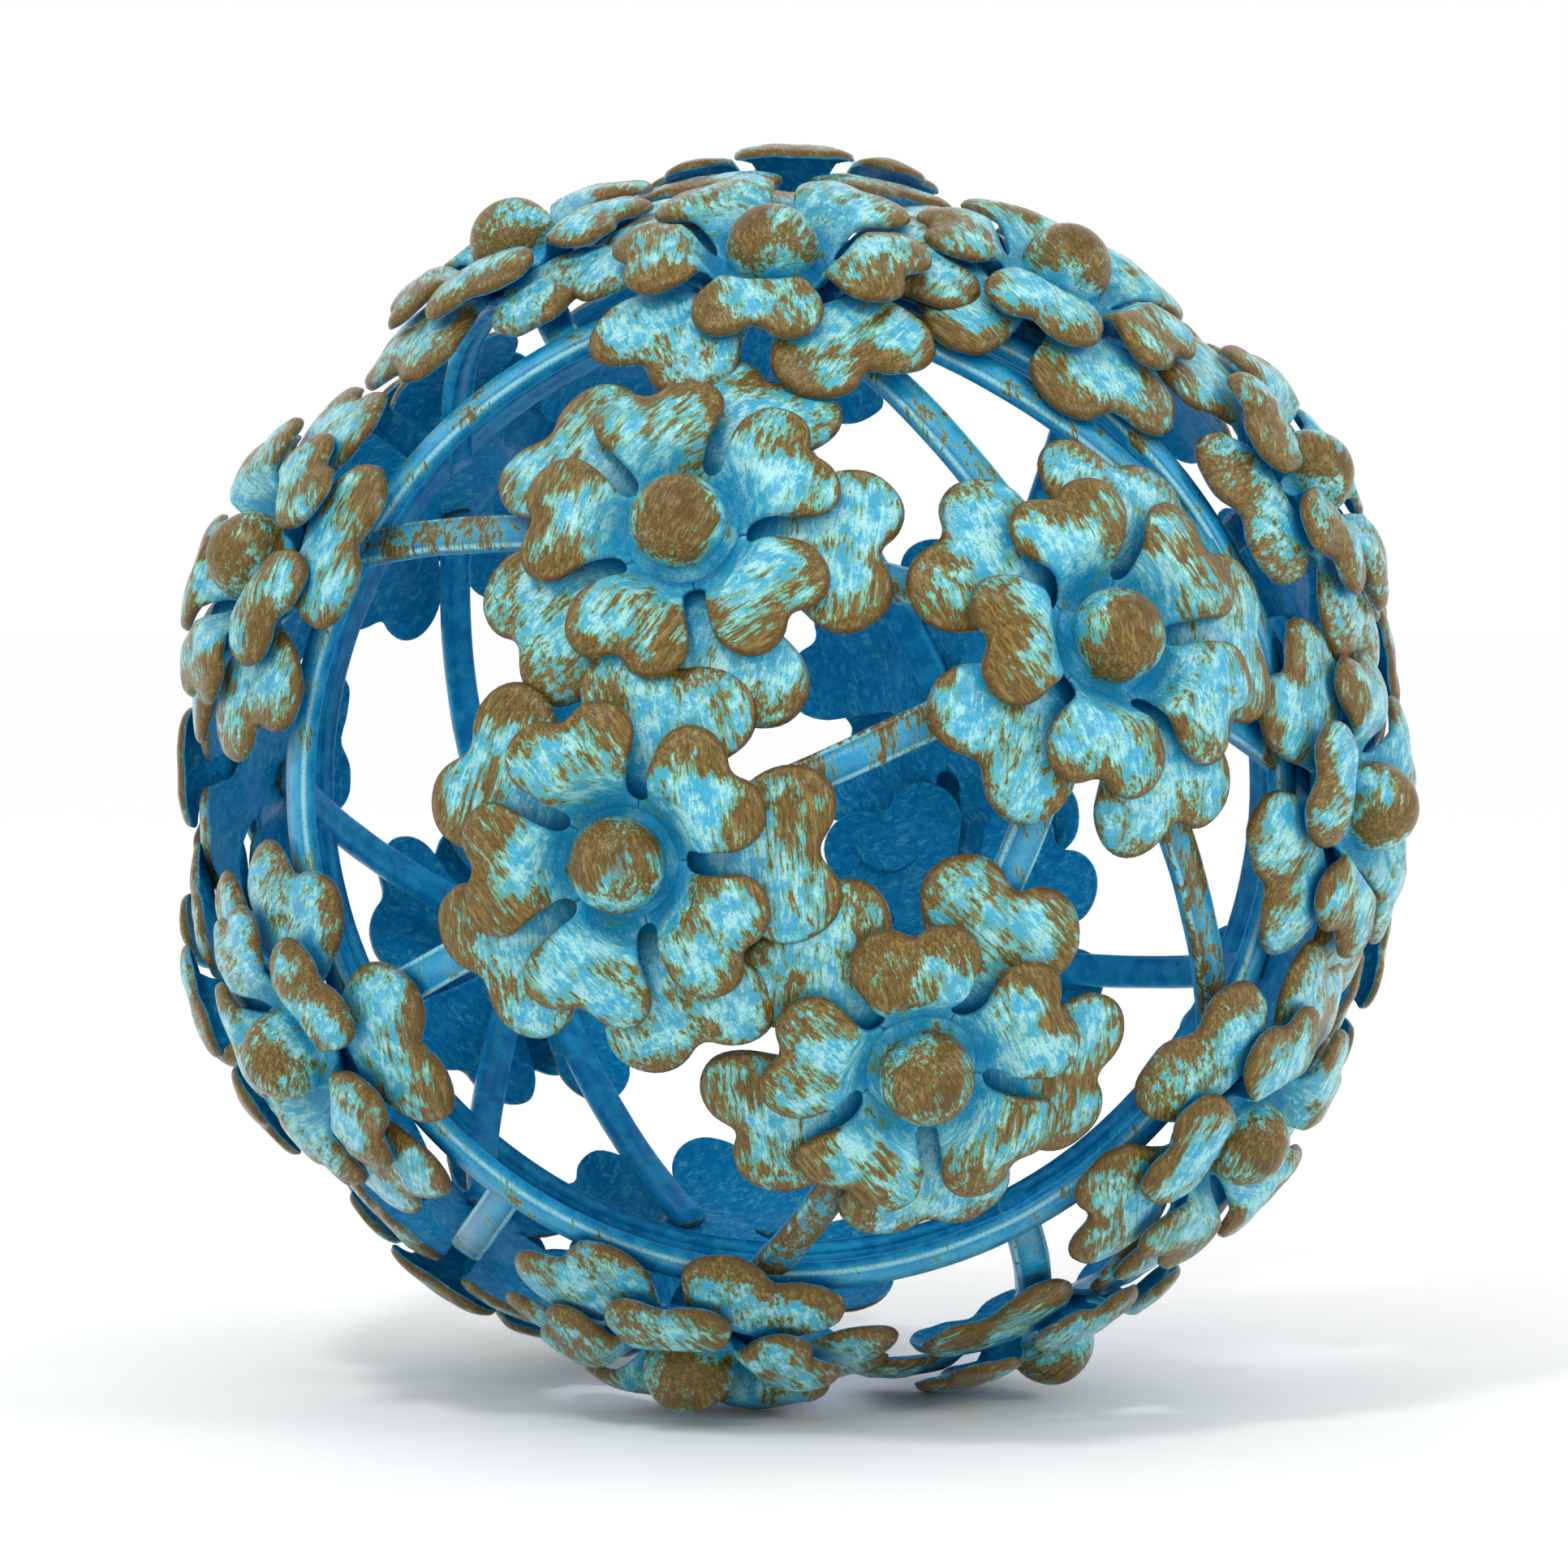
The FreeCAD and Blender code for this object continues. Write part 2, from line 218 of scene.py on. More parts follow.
def stamping_template(shape):
    """Flat quad mesh of a whole five-petal stamping: points (N, 2), faces, and each point's distance
    to the outline."""
    half = half_outline(shape)
    lengths = np.concatenate([[0], np.cumsum(np.hypot(*np.diff(half, axis=0).T))])
    share = lengths / lengths[-1]
    hub = np.hypot(*half[0])
    spine = hub + (half[-1, 0] - hub) * share
    across = 1 - (1 - np.linspace(0, 1, CROSS_STEPS + 1)) ** 1.8
    across = np.concatenate([-across[:0:-1], across])
    far, way = np.hypot(half[:, 0], half[:, 1]), np.arctan2(-half[:, 1], half[:, 0])
    radius = spine[:, None] + (far - spine)[:, None] * np.abs(across)[None, :]
    angle = way[:, None] * across[None, :]
    rows, columns = radius.shape

    points, faces, outline = [], [], []
    for petal in range(PETALS):
        turn = angle + petal * 2 * math.pi / PETALS
        base = len(points) * rows * columns
        points.append(np.stack([radius * np.cos(turn), radius * np.sin(turn)], axis=-1).reshape(-1, 2))
        edge_angle = np.concatenate([-way, way[::-1]]) + petal * 2 * math.pi / PETALS
        edge_far = np.concatenate([far, far[::-1]])
        outline.append(np.stack([edge_far * np.cos(edge_angle), edge_far * np.sin(edge_angle)], axis=-1))
        for r in range(rows - 1):
            for c in range(columns - 1):
                a = base + r * columns + c
                faces.append((a, a + columns, a + columns + 1, a + 1))
    count = PETALS * rows * columns
    ring_angle = np.concatenate([angle[0, :-1] + k * 2 * math.pi / PETALS for k in range(PETALS)])
    rings = [0.25, 0.5, 0.75, 1.0]
    around = len(ring_angle)
    for scale in rings:
        points.append(hub * scale * np.stack([np.cos(ring_angle), np.sin(ring_angle)], axis=-1))
    points.append(np.zeros((1, 2)))
    middle = count + around * len(rings)
    for r in range(len(rings) - 1):
        for k in range(around):
            a, b = count + r * around + k, count + r * around + (k + 1) % around
            faces.append((a, a + around, b + around, b))
    faces += [(middle, count + k, count + (k + 1) % around) for k in range(around)]
    points = np.concatenate(points)

    # weld: petals share the ends of the slots, the hub shares its ring with the petals
    _, first, same = np.unique(np.round(points, 4), axis=0, return_index=True, return_inverse=True)
    same = same.reshape(-1)
    clean = []
    for face in faces:
        corners = [int(same[i]) for i in face]
        corners = [c for k, c in enumerate(corners) if c != corners[k - 1]]
        if len(set(corners)) >= 3:
            clean.append(tuple(corners))
    points = points[first]
    return points, clean, distance_to(points, np.concatenate(outline))


def distance_to(points, outline):
    """Distance from each point to a closed polyline."""
    start, end = outline, np.roll(outline, -1, axis=0)
    along = end - start
    squared = np.maximum((along**2).sum(axis=1), 1e-12)
    nearest = np.full(len(points), np.inf)
    for s, a, length_squared in zip(start, along, squared):
        t = np.clip(((points - s) @ a) / length_squared, 0, 1)
        nearest = np.minimum(nearest, np.hypot(*(points - s - t[:, None] * a).T))
    return nearest


def smooth(low, high, value):
    """Smooth step from 0 at low to 1 at high."""
    t = np.clip((value - low) / (high - low), 0, 1)
    return t * t * (3 - 2 * t)


def open_edges(faces):
    """Edges that only one face has, in that face's direction."""
    seen = set()
    for face in faces:
        seen.update((face[k - 1], face[k]) for k in range(len(face)))
    return [(a, b) for a, b in seen if (b, a) not in seen]


def stamping_mesh(template, shape, cup, turn, seed):
    """Mesh of one stamping in its flower's frame, and the attributes that its paint follows: swing turns
    the brushing, gilt adds gold-brown, edge is the distance to the outline, reach the share of the way
    to a petal's tip, crown how far up its dome, and under is 1 on the inner face."""
    flat, faces, edge = template
    dice = random.Random(seed)
    shift = Vector((dice.uniform(0, 90), dice.uniform(0, 90), dice.uniform(0, 90)))
    cos, sin = math.cos(turn), math.sin(turn)
    tip = shape["lobe_x"] + shape["lobe_r"]
    far = np.hypot(flat[:, 0], flat[:, 1])
    way = np.arctan2(flat[:, 1], flat[:, 0])

    # every petal is bent a little differently by hand
    petal = np.round(way / (2 * math.pi / PETALS)).astype(int) % PETALS
    across = way - petal * 2 * math.pi / PETALS
    across = np.arctan2(np.sin(across), np.cos(across))
    lift = np.array([dice.uniform(-0.55, 0.35) for _ in range(PETALS)])[petal]
    twist = np.array([dice.uniform(-0.5, 0.5) for _ in range(PETALS)])[petal]
    swell = np.array([dice.uniform(0.8, 1.2) for _ in range(PETALS)])[petal]
    reach = far / tip
    curl = shape["curl"] * smooth(0.72, 1.05, reach) * (reach > 0.7)
    bend = reach**2 * lift + reach**2 * across / 0.5 * twist - curl

    wobble = np.array([tuple(noise.noise_vector(Vector((x / 7, y / 7, 0)) + shift)) for x, y in flat])
    dents = np.array([noise.noise(Vector((x / 3.2, y / 3.2, 5)) + shift) for x, y in flat])
    ease = smooth(5, 14, far)
    x = flat[:, 0] + 0.45 * wobble[:, 0] * ease
    y = flat[:, 1] + 0.45 * wobble[:, 1] * ease
    x, y = x * cos - y * sin, x * sin + y * cos

    rise = smooth(shape["hub"], shape["flank"], far)
    away = smooth(shape["hub"], shape["hub"] + 4, far)
    crown = 1 - (1 - np.clip(edge / CROWN_WIDTH, 0, 1)) ** 2
    lip = 1 - np.sqrt(np.maximum(1 - (1 - np.clip(edge / LIP_WIDTH, 0, 1)) ** 2, 0))
    sphere = shape["base"] + (shape["shell"] + cup - shape["base"]) * rise
    height = sphere + away * ((crown - 0.5) * shape["dome"] * swell - 0.3 * lip + bend) + 0.3 * dents * away
    round_off = np.clip(edge / RIM, 0, 1)
    round_off = 1 - np.sqrt(np.maximum(1 - (1 - round_off) ** 2, 0))
    top = height - SHEET / 2 * round_off
    bottom = height - SHEET + SHEET / 2 * round_off

    upper = np.stack([x, y, np.sqrt(np.maximum(top**2 - x**2 - y**2, 0))], axis=1)
    lower = np.stack([x, y, np.sqrt(np.maximum(bottom**2 - x**2 - y**2, 0))], axis=1)
    count = len(flat)
    rim_points = {i for pair in open_edges(faces) for i in pair}
    lower_index = np.arange(count, 2 * count)
    for i in rim_points:
        lower_index[i] = i
    used = np.ones(2 * count, dtype=bool)
    used[[count + i for i in rim_points]] = False
    renumber = np.cumsum(used) - 1
    points = np.concatenate([upper, lower])[used]
    all_faces = [tuple(int(renumber[i]) for i in face) for face in faces]
    all_faces += [tuple(int(renumber[lower_index[i]]) for i in reversed(face)) for face in faces]

    def both(values_top, values_bottom):
        return np.concatenate([values_top, values_bottom])[used]

    gilt = shape["gilt"] + np.array([dice.uniform(-0.14, 0.12) for _ in range(PETALS)])[petal]
    gilt += np.array([dice.uniform(-0.16, 0.16) for _ in range(PETALS)])[petal] * np.tanh(across * 6)
    swing = np.array([dice.uniform(-0.6, 0.6) for _ in range(PETALS)])[petal] * smooth(7, 9.5, far)
    attributes = {
        "swing": both(swing, swing),
        "gilt": both(gilt, gilt),
        "edge": both(edge, edge),
        "reach": both(reach, reach),
        "crown": both(crown * away, crown * away),
        "under": both(np.where([i in rim_points for i in range(count)], 0.5, 0.0), np.ones(count)),
    }
    return points, all_faces, attributes


def make_object(name, points, faces, attributes, matrix, paint_turn):
    """Object from points in a flower's frame. Its paint coordinates are in mm, X along the brushing."""
    dice = random.Random(name + " paint")
    mesh = bpy.data.meshes.new(name)
    placed = [matrix @ Vector(p) for p in points]
    mesh.from_pydata(placed, [], faces)
    for key in ("edge", "reach", "crown", "under", "gilt"):
        values = attributes[key]
        mesh.attributes.new(key, "FLOAT", "POINT").data.foreach_set("value", values.astype(np.float32))
    turn = -(paint_turn + attributes["swing"])
    cos, sin = np.cos(turn), np.sin(turn)
    offset = np.array([dice.uniform(0, 500) for _ in range(3)])
    points = np.asarray(points)
    x, y, z = points.T
    paint = np.stack([x * cos - y * sin, x * sin + y * cos, z], axis=1)
    paint = (paint + offset).astype(np.float32)
    mesh.attributes.new("paint", "FLOAT_VECTOR", "POINT").data.foreach_set("vector", paint.reshape(-1))
    mesh.polygons.foreach_set("use_smooth", [True] * len(mesh.polygons))
    mesh.update()
    obj = bpy.data.objects.new(name, mesh)
    bpy.context.scene.collection.objects.link(obj)
    return obj


def bead_mesh(seed):
    """Ball with a fillet of weld and paint round its foot, in its flower's frame."""
    dice = random.Random(seed)
    seat = FRAME_RADIUS + 2 * SHEET
    middle = seat + BEAD_SINK
    profile = [(6.3, seat + 0.05), (5.7, seat + 0.35), (5.25, seat + 0.8), (5.0, seat + 1.3)]
    start = math.degrees(math.asin((seat + 1.7 - middle) / BEAD_RADIUS))
    for k in range(BEAD_RINGS):
        tilt = math.radians(start + (90 - start) * k / BEAD_RINGS)
        profile.append((BEAD_RADIUS * math.cos(tilt), middle + BEAD_RADIUS * math.sin(tilt)))
    around = BEAD_AROUND
    shift = Vector((dice.uniform(0, 50), dice.uniform(0, 50), dice.uniform(0, 50)))
    points, faces = [], []
    for radius, height in profile:
        for k in range(around):
            turn = 2 * math.pi * k / around
            p = Vector((radius * math.cos(turn), radius * math.sin(turn), height))
            dent = noise.noise((p - Vector((0, 0, middle))) / 4 + shift)
            points.append(tuple(p + Vector((p.x, p.y, (height - middle) * 0.8)).normalized() * dent * 0.12))
    top, bottom = len(points), len(points) + 1
    points += [(0, 0, middle + BEAD_RADIUS), (0, 0, seat - 0.4)]
    for r in range(len(profile) - 1):
        for k in range(around):
            a, b = r * around + k, r * around + (k + 1) % around
            faces.append((a, b, b + around, a + around))
    last = (len(profile) - 1) * around
    for k in range(around):
        n = (k + 1) % around
        faces.append((last + k, last + n, top))
        faces.append((n, k, bottom))
    points = np.array(points)
    level = (points[:, 2] - seat) / (middle + BEAD_RADIUS - seat)
    lean = math.radians(dice.uniform(10, 30))
    way = dice.uniform(0, 2 * math.pi)
    axis = np.array([math.sin(lean) * math.cos(way), math.sin(lean) * math.sin(way), math.cos(lean)])
    cap = (points - np.array([0, 0, middle])) @ axis / BEAD_RADIUS
    attributes = {
        "swing": np.zeros(len(points)),
        "gilt": np.full(len(points), dice.uniform(-0.1, 0.3)),
        "edge": np.clip(1 - cap, 0, 1) * 2.9,
        "reach": 0.45 + 0.55 * np.clip(level * 2 - 0.2, 0, 1),
        "crown": np.clip(level * 2.5, 0, 1),
        "under": np.zeros(len(points)),
    }
    return points, faces, attributes


# ---------------------------------------------------------------- strips

def strip_section():
    """Points round a strip: (across, height over its inner face, distance to its corners, inwards). The
    corners get worn paint and a painted highlight.
    """
    half, corner = STRIP_WIDTH / 2, STRIP_CORNER
    points = []
    for k, (x, z) in enumerate(((1, 1), (-1, 1), (-1, -1), (1, -1))):
        middle = (x * (half - corner), STRIP_THICKNESS / 2 + z * (STRIP_THICKNESS / 2 - corner))
        for step in range(5):
            turn = math.radians(90 * k + 22.5 * step)
            across, height = middle[0] + corner * math.cos(turn), middle[1] + corner * math.sin(turn)
            points.append((across, height, abs(step - 2) * 0.2, 0.0 if z > 0 else 1.0))
        if k in (0, 2):
            across = [0.5, 0.0, -0.5] if k == 0 else [-0.5, 0.0, 0.5]
            for share in across:
                height = STRIP_THICKNESS + STRIP_CROWN if k == 0 else 0.0
                points.append((share * (half - corner) * 2, height, 1.5, 0.0 if k == 0 else 1.0))
    return points


def strip_mesh(stations, closed, drop, gilt, label):
    """Strip swept along (outward, side) pairs of directions on the ball. gilt is how much gold it has."""
    section = strip_section()
    around = len(section)
    shift = Vector((random.Random(label).uniform(0, 90), 0, 0))
    points, edge, under = [], [], []
    for outward, side in stations:
        for across, height, corner, inwards in section:
            p = outward * (FRAME_RADIUS - STRIP_THICKNESS + height - drop) + side * across
            swell = 1 + 0.05 * noise.noise(p / 6 + shift)
            points.append(tuple(outward * p.dot(outward) + side * across * swell))
            edge.append(corner)
            under.append(inwards)
    faces = []
    count = len(stations)
    for r in range(count if closed else count - 1):
        for k in range(around):
            a, b = r * around + k, r * around + (k + 1) % around
            c, d = (r + 1) % count * around + (k + 1) % around, (r + 1) % count * around + k
            faces.append((a, b, c, d))
    if not closed:
        faces.append(tuple(range(around - 1, -1, -1)))
        faces.append(tuple((count - 1) * around + k for k in range(around)))
    attributes = {
        "swing": np.zeros(len(points)),
        "gilt": np.full(len(points), gilt),
        "edge": np.array(edge),
        "reach": np.ones(len(points)),
        "crown": np.ones(len(points)),
        "under": np.array(under),
    }
    return np.array(points), faces, attributes


def hoop_stations(polar):
    """Round the ball at one polar angle, every two degrees."""
    made = []
    for k in range(180):
        outward = direction(2 * k, polar)
        made.append((outward, direction(2 * k, polar + 90)))
    return made


def strut_stations(start, end):
    """Along the ball between two flowers' middles, or bare (clock, polar) places on a hoop."""
    a, b = (direction(*(FLOWERS[place][:2] if isinstance(place, str) else place)) for place in (start, end))
    side = a.cross(b).normalized()
    gap = STRUT_END_GAP / FRAME_RADIUS
    skip_a, skip_b = (gap if isinstance(place, str) else 0.0 for place in (start, end))
    sweep = a.angle(b) - skip_b
    count = max(4, int(sweep * FRAME_RADIUS / 2))
    made = []
    for k in range(count + 1):
        turn = skip_a + (sweep - skip_a) * k / count
        made.append((a * math.cos(turn) + side.cross(a) * math.sin(turn), side))
    return made


# ---------------------------------------------------------------- paint

def rgb(text):
    """Linear colour from a six-digit sRGB code."""
    values = [int(text[k:k + 2], 16) / 255 for k in (0, 2, 4)]
    return tuple(v / 12.92 if v <= 0.04045 else ((v + 0.055) / 1.055) ** 2.4 for v in values) + (1.0,)


class Paint:
    """Builds a node material with short calls."""

    def __init__(self, name):
        self.material = bpy.data.materials.new(name)
        self.material.use_nodes = True
        self.tree = self.material.node_tree
        self.shader = self.tree.nodes["Principled BSDF"]

    def node(self, kind, **settings):
        made = self.tree.nodes.new(kind)
        for key, value in settings.items():
            setattr(made, key, value)
        return made

    def plug(self, socket, value):
        if isinstance(value, bpy.types.NodeSocket):
            self.tree.links.new(value, socket)
        else:
            socket.default_value = value

    def attribute(self, name, vector=False):
        made = self.node("ShaderNodeAttribute", attribute_name=name)
        return made.outputs["Vector" if vector else "Fac"]

    def math(self, operation, a, b=0.0):
        made = self.node("ShaderNodeMath", operation=operation)
        self.plug(made.inputs[0], a)
        self.plug(made.inputs[1], b)
        return made.outputs[0]

    def weigh(self, *terms):
        """Sum of value * weight pairs."""
        total = None
        for value, weight in terms:
            part = self.math("MULTIPLY", value, weight)
            total = part if total is None else self.math("ADD", total, part)
        return total

    def ramp(self, value, low, high, to_low=0.0, to_high=1.0):
        """Smooth step of value from low to high."""
        made = self.node("ShaderNodeMapRange", interpolation_type="SMOOTHSTEP")
        for key, setting in zip(("Value", "From Min", "From Max", "To Min", "To Max"),
                                (value, low, high, to_low, to_high)):
            self.plug(made.inputs[key], setting)
        return made.outputs["Result"]

    def scaled(self, vector, x, y, z):
        made = self.node("ShaderNodeVectorMath", operation="MULTIPLY")
        self.plug(made.inputs[0], vector)
        made.inputs[1].default_value = (x, y, z)
        return made.outputs[0]

    def noise(self, vector, scale=1.0, detail=3.0, roughness=0.55, distortion=0.0):
        made = self.node("ShaderNodeTexNoise")
        self.plug(made.inputs["Vector"], vector)
        made.inputs["Scale"].default_value = scale
        made.inputs["Detail"].default_value = detail
        made.inputs["Roughness"].default_value = roughness
        made.inputs["Distortion"].default_value = distortion
        return made.outputs["Fac"]

    def mix(self, factor, a, b):
        made = self.node("ShaderNodeMix", data_type="RGBA")
        self.plug(made.inputs[0], factor)
        self.plug(made.inputs[6], a)
        self.plug(made.inputs[7], b)
        return made.outputs[2]

    def bump(self, height, strength, distance):
        made = self.node("ShaderNodeBump")
        made.inputs["Strength"].default_value = strength
        made.inputs["Distance"].default_value = distance
        self.plug(made.inputs["Height"], height)
        return made.outputs["Normal"]

    def gloss(self, shade, under, gold_mask):
        """Shine of exposed paint, less on gold-brown, and almost none in recesses and on inner faces."""
        shine = self.ramp(shade, 0.35, 0.9, 0.04, 0.5)
        shine = self.math("MULTIPLY", shine, self.ramp(under, 0.4, 0.7, 1.0, 0.15))
        return self.math("MULTIPLY", shine, self.ramp(gold_mask, 0.0, 1.0, 1.0, 0.55))

    def occlusion(self, distance, samples=6):
        made = self.node("ShaderNodeAmbientOcclusion", samples=samples)
        made.inputs["Distance"].default_value = distance
        return made.outputs["AO"]


COLOURS = {
    "pale": rgb("9ad4d4"),
    "light": rgb("58b8ca"),
    "base": rgb("309ec2"),
    "mid": rgb("0e8cbc"),
    "deep": rgb("006a98"),
    "inside": rgb("0080b8"),
    "inside_light": rgb("1c9ccc"),
    "green": rgb("5c9a62"),
    "olive": rgb("6a7030"),
    "gold": rgb("705a28"),
    "gold_dark": rgb("543f18"),
    "gold_light": rgb("88733e"),
}


def distressed(name):
    """Turquoise paint, dry-brushed pale and gold-brown on what stands out, with deep blue in recesses that
    is partly deeper paint and partly painted shade.
    """
    paint = Paint(name)
    at = paint.attribute("paint", vector=True)
    edge = paint.attribute("edge")
    reach = paint.attribute("reach")
    crown = paint.attribute("crown")
    under = paint.attribute("under")
    gilt = paint.attribute("gilt")

    blotch = paint.noise(at, 0.2, 2, 0.5, 0.3)
    cloud = paint.noise(at, 0.5, 3, 0.6)
    streak = paint.noise(paint.scaled(at, 0.28, 1.8, 1.8), 1.0, 3, 0.6, 0.3)
    hair = paint.noise(paint.scaled(at, 0.7, 5.0, 5.0), 1.0, 2, 0.6, 0.3)
    wisp = paint.noise(paint.scaled(at, 0.3, 2.2, 2.2), 1.0, 3, 0.65, 0.5)
    grit = paint.noise(at, 3.4, 3, 0.75)

    # gold-brown, thick on the ends of the lobes and streaked from there over the petals
    out = paint.ramp(reach, 0.5, 0.76)
    rim = paint.math("MULTIPLY", paint.ramp(edge, 2.6, -0.8), out)
    tip = paint.ramp(reach, 0.6, 1.0)
    worn = paint.weigh(
        (rim, 0.66), (tip, 0.26), (gilt, 1.0), (blotch, 3.4), (streak, 2.6), (hair, 1.5), (grit, 0.3)
    )
    worn = paint.math("ADD", worn, -3.88)
    worn = paint.math("SUBTRACT", worn, paint.ramp(reach, 0.66, 0.4, 0.0, 0.6))
    gold_mask = paint.ramp(worn, 0.32, 0.38)
    fringe = paint.ramp(worn, -0.15, 0.32)
    pale = paint.weigh((wisp, 1.3), (hair, 0.5), (cloud, 1.3), (crown, 0.12))
    pale_mask = paint.ramp(pale, 1.55, 1.85)

    # Partly painted shade and partly deeper paint: mid and deep blue where other surfaces are close and
    # towards the hub, broken up by random patches.
    shade = paint.occlusion(SHADE_DISTANCE)
    shade_and_deep_paint = paint.weigh((paint.ramp(shade, 0.85, 0.2), 0.9), (paint.ramp(reach, 0.55, 0.25), 0.22))
    shade_and_deep_paint = paint.weigh((shade_and_deep_paint, 1.0), (cloud, 0.5), (grit, 0.5), (wisp, 0.3))
    colour = paint.mix(paint.ramp(cloud, 0.35, 0.65), COLOURS["base"], COLOURS["light"])
    colour = paint.mix(pale_mask, colour, COLOURS["pale"])
    colour = paint.mix(paint.ramp(shade_and_deep_paint, 0.85, 1.35), colour, COLOURS["mid"])
    colour = paint.mix(paint.ramp(shade_and_deep_paint, 1.32, 1.85), colour, COLOURS["deep"])
    colour = paint.mix(paint.math("MULTIPLY", paint.ramp(grit, 0.52, 0.64), 0.5), colour, COLOURS["deep"])
    colour = paint.mix(paint.math("MULTIPLY", fringe, 0.75), colour, COLOURS["green"])
    brown = paint.mix(paint.ramp(hair, 0.38, 0.62), COLOURS["gold_dark"], COLOURS["gold"])
    lighter = paint.math("MULTIPLY", paint.ramp(wisp, 0.5, 0.62), 0.85)
    brown = paint.mix(lighter, brown, COLOURS["gold_light"])
    brown = paint.mix(paint.ramp(worn, 0.32, 0.46), COLOURS["olive"], brown)
    colour = paint.mix(gold_mask, colour, brown)
    fleck = paint.math("MULTIPLY", paint.ramp(grit, 0.6, 0.66), paint.ramp(streak, 0.48, 0.6))
    line = paint.math("MULTIPLY", paint.ramp(edge, 0.4, 0.05), out)
    line = paint.math("MULTIPLY", line, paint.ramp(cloud, 0.35, 0.5))
    dark = paint.math("MAXIMUM", paint.math("MULTIPLY", fleck, out), line)
    colour = paint.mix(paint.math("MULTIPLY", dark, 0.75), colour, COLOURS["gold_dark"])

    back = paint.mix(paint.ramp(paint.noise(at, 1.1, 4, 0.65), 0.4, 0.68), COLOURS["inside"],
                     COLOURS["inside_light"])
    scribble = paint.noise(paint.scaled(at, 0.45, 1.2, 1.2), 1.0, 3, 0.7, 1.0)
    back = paint.mix(paint.math("MULTIPLY", paint.ramp(scribble, 0.54, 0.64), 0.65), back, COLOURS["light"])
    colour = paint.mix(paint.ramp(under, 0.5, 0.62), colour, back)

    paint.plug(paint.shader.inputs["Base Color"], colour)
    paint.plug(paint.shader.inputs["Roughness"], paint.ramp(
        paint.weigh((cloud, 0.6), (grit, 0.4)), 0.3, 0.7, 0.12, 0.34))
    relief = paint.weigh((gold_mask, 0.3), (grit, 0.4), (hair, 0.5), (wisp, 0.5), (cloud, 0.8))
    paint.plug(paint.shader.inputs["Normal"], paint.bump(relief, 0.5, BUMP_DEPTH))
    paint.plug(paint.shader.inputs["Specular IOR Level"], paint.gloss(shade, under, gold_mask))
    return paint.material


def strip_paint():
    """Speckled blue, pale along the strip's corners as worn paint and a painted highlight, deep blue as
    painted shade where other parts are close, and streaked with gold-brown where gilt is high.
    """
    paint = Paint("strip_paint")
    at = paint.attribute("paint", vector=True)
    edge = paint.attribute("edge")
    gilt = paint.attribute("gilt")
    under = paint.attribute("under")

    cloud = paint.noise(at, 0.4, 3, 0.6)
    blotch = paint.noise(at, 0.2, 2, 0.5)
    streak = paint.noise(paint.scaled(at, 0.2, 1.5, 1.5), 1.0, 3, 0.65, 0.3)
    hair = paint.noise(paint.scaled(at, 0.5, 4.2, 4.2), 1.0, 2, 0.6, 0.3)
    grit = paint.noise(at, 4.0, 3, 0.7)
    shade = paint.occlusion(SHADE_DISTANCE)
    colour = paint.mix(paint.ramp(cloud, 0.38, 0.62), COLOURS["mid"], COLOURS["base"])
    # Painted shade: deep blue where other parts are close.
    colour = paint.mix(paint.ramp(shade, 0.85, 0.3), colour, COLOURS["deep"])
    # Partly worn paint and partly painted highlight: pale along the strip's corners.
    colour = paint.mix(paint.math("MULTIPLY", paint.ramp(edge, 0.36, 0.0), 0.8), colour, COLOURS["pale"])
    colour = paint.mix(paint.math("MULTIPLY", paint.ramp(grit, 0.52, 0.64), 0.6), colour, COLOURS["deep"])
    worn = paint.weigh((gilt, 1.0), (blotch, 2.2), (streak, 2.9), (hair, 1.2), (grit, 0.4))
    colour = paint.mix(paint.math("MULTIPLY", paint.ramp(worn, 3.5, 3.75), 0.75), colour, COLOURS["green"])
    brown = paint.mix(paint.ramp(hair, 0.38, 0.62), COLOURS["gold_dark"], COLOURS["gold"])
    colour = paint.mix(paint.ramp(worn, 3.75, 3.82), colour, brown)
    back = paint.mix(paint.ramp(cloud, 0.38, 0.62), COLOURS["inside"], COLOURS["inside_light"])
    colour = paint.mix(paint.ramp(under, 0.3, 0.7), colour, back)
    paint.plug(paint.shader.inputs["Base Color"], colour)
    paint.plug(paint.shader.inputs["Roughness"], paint.ramp(cloud, 0.3, 0.7, 0.15, 0.3))
    relief = paint.weigh((grit, 0.5), (hair, 0.5), (cloud, 0.6))
    paint.plug(paint.shader.inputs["Normal"], paint.bump(relief, 0.5, BUMP_DEPTH))
    paint.plug(paint.shader.inputs["Specular IOR Level"], paint.gloss(shade, under, 0.0))
    return paint.material


PETAL_PAINT = distressed("petal_paint")
BEAD_PAINT = distressed("bead_paint")
STRIP_PAINT = strip_paint()


# ---------------------------------------------------------------- pieces

def build_flowers():
    """Two stampings and a bead for each flower."""
    outer, inner = stamping_template(OUTER), stamping_template(INNER)
    for name, (_, _, spin, high) in FLOWERS.items():
        matrix = flower_matrix(name)
        dice = random.Random(name)
        brush = math.radians(BRUSH.get(name, dice.uniform(60, 120)) - spin)
        layers = (("outer", OUTER, outer, 0.0, "large_petal_paint"),
                  ("inner", INNER, inner, math.pi / PETALS, "small_petal_paint"))
        for layer, shape, template, turn, slot in layers:
            label = f"{layer}_petals_{name}"
            points, faces, attributes = stamping_mesh(template, shape, CUP[high], turn, label)
            piece = make_object(label, points, faces, attributes, matrix, brush)
            piece.data.materials.append(PETAL_PAINT)
            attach(piece, "root")
            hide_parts(f"{layer}_blossom_{name}")
        label = f"bead_{name}"
        points, faces, attributes = bead_mesh(label)
        bead = make_object(label, points, faces, attributes, matrix, brush)
        bead.data.materials.append(BEAD_PAINT)
        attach(bead, "root")
        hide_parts("beads")


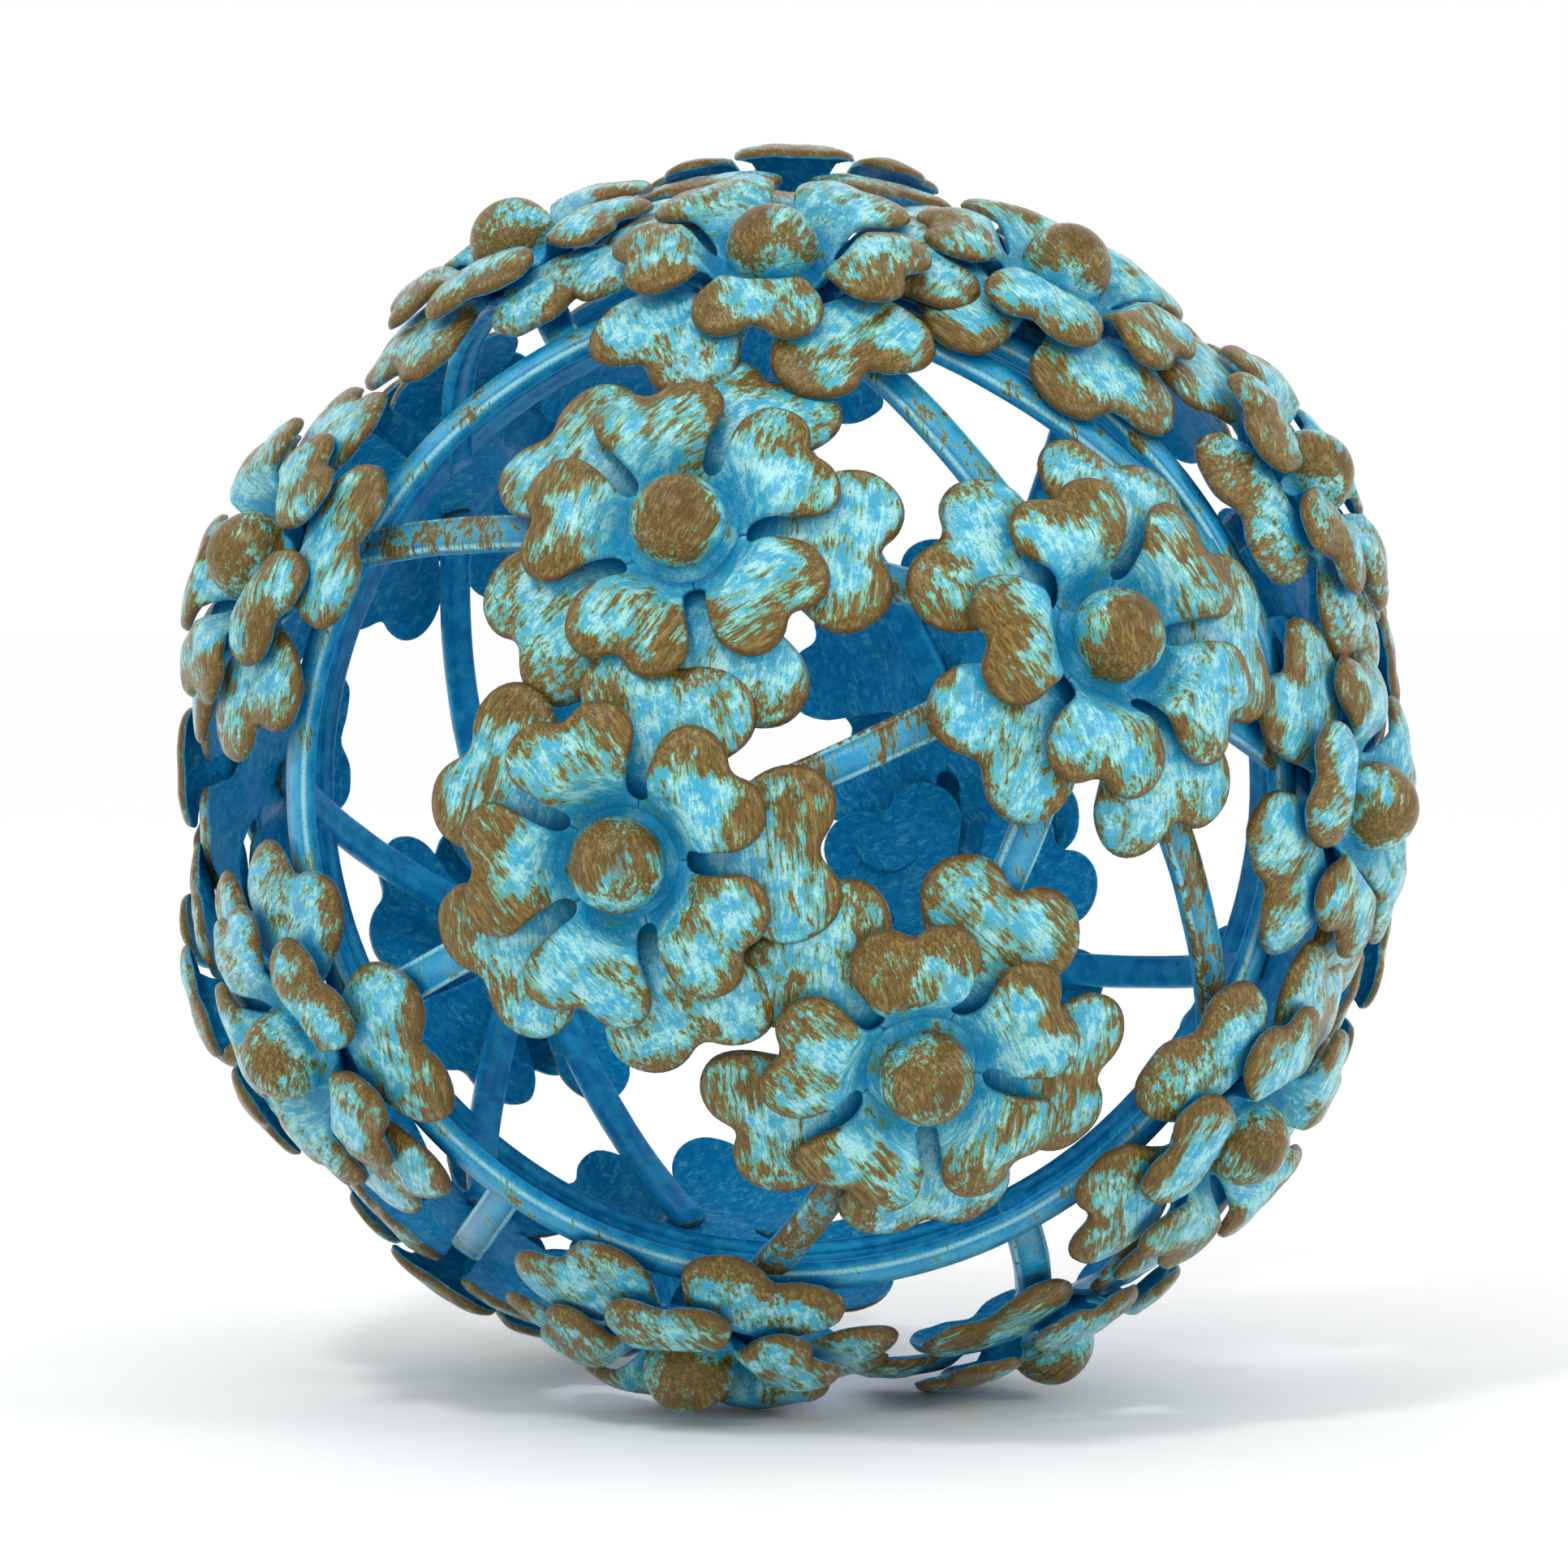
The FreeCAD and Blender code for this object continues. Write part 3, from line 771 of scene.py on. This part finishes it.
def build_strips():
    """Hoops and struts, one piece for each strip."""
    strips = [("front_hoop", "front_hoop_strip", hoop_stations(FRONT_HOOP_POLAR), True, -0.1),
              ("back_hoop", "back_hoop_strip", hoop_stations(BACK_HOOP_POLAR), True, 0.0)]
    for node, pairs in STRUTS.items():
        for number, (start, end) in enumerate(pairs, 1):
            gilt = GILT.get((start, end), 0.0)
            strips.append((node, f"{node}_{number}", strut_stations(start, end), False, gilt))
    for node, label, stations, closed, gilt in strips:
        drop = 0.0 if closed else STRUT_DROP
        points, faces, attributes = strip_mesh(stations, closed, drop, gilt, label)
        # paint coordinates lie as seen from the front, as a flower's do
        upright = Matrix.Rotation(math.radians(-90), 3, "X")
        points = points @ np.array(upright.transposed())
        back_again = BALL @ upright.transposed().to_4x4()
        strip = make_object(label, points, faces, attributes, back_again, STRIP_BRUSH)
        strip.data.materials.append(STRIP_PAINT)
        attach(strip, "root")
        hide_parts(node)


def area_light(name, place, size, power):
    """Square soft light aimed at the ball. place is metres from its centre."""
    data = bpy.data.lights.new(name, "AREA")
    data.shape = "SQUARE"
    data.size = size
    data.energy = power
    lamp = bpy.data.objects.new(name, data)
    lamp.location = CENTRE + Vector(place)
    lamp.rotation_euler = (-Vector(place)).to_track_quat("-Z", "Y").to_euler()
    bpy.context.scene.collection.objects.link(lamp)


def build_stage():
    """Pale floor, two soft lights and an even white surround."""
    bpy.ops.mesh.primitive_plane_add(size=FLOOR_SIZE, location=(0, 0, 0))
    floor = bpy.context.object
    floor.name = "floor"
    paint = Paint("floor_paper")
    place = paint.node("ShaderNodeNewGeometry").outputs["Position"]
    tone = paint.ramp(paint.noise(place, 40, 3), 0.3, 0.7)
    paper = paint.mix(tone, (0.99, 0.99, 0.99, 1), (0.98, 0.98, 0.98, 1))
    paint.plug(paint.shader.inputs["Base Color"], paper)
    paint.shader.inputs["Roughness"].default_value = 0.9
    paint.shader.inputs["Specular IOR Level"].default_value = 0.2
    floor.data.materials.append(paint.material)

    for name, (place, size, power) in LIGHTS.items():
        area_light(name, place, size, power)
    world = bpy.data.worlds.new("studio")
    bpy.context.scene.world = world
    world.use_nodes = True
    world.node_tree.nodes["Background"].inputs["Color"].default_value = (1, 1, 1, 1)
    world.node_tree.nodes["Background"].inputs["Strength"].default_value = 1.0


def build_camera():
    elevation = math.radians(CAMERA_ELEVATION)
    data = bpy.data.cameras.new("camera")
    data.sensor_width = 36
    data.lens = CAMERA_LENS
    camera = bpy.data.objects.new("camera", data)
    back = Vector((0, -math.cos(elevation), math.sin(elevation)))
    camera.location = CENTRE + back * CAMERA_DISTANCE
    camera.rotation_euler = back.to_track_quat("Z", "Y").to_euler()
    data.shift_x, data.shift_y = CAMERA_SHIFT
    bpy.context.scene.collection.objects.link(camera)
    bpy.context.scene.camera = camera


build_flowers()
build_strips()
build_stage()
build_camera()
bpy.context.scene.view_settings.view_transform = "Standard"
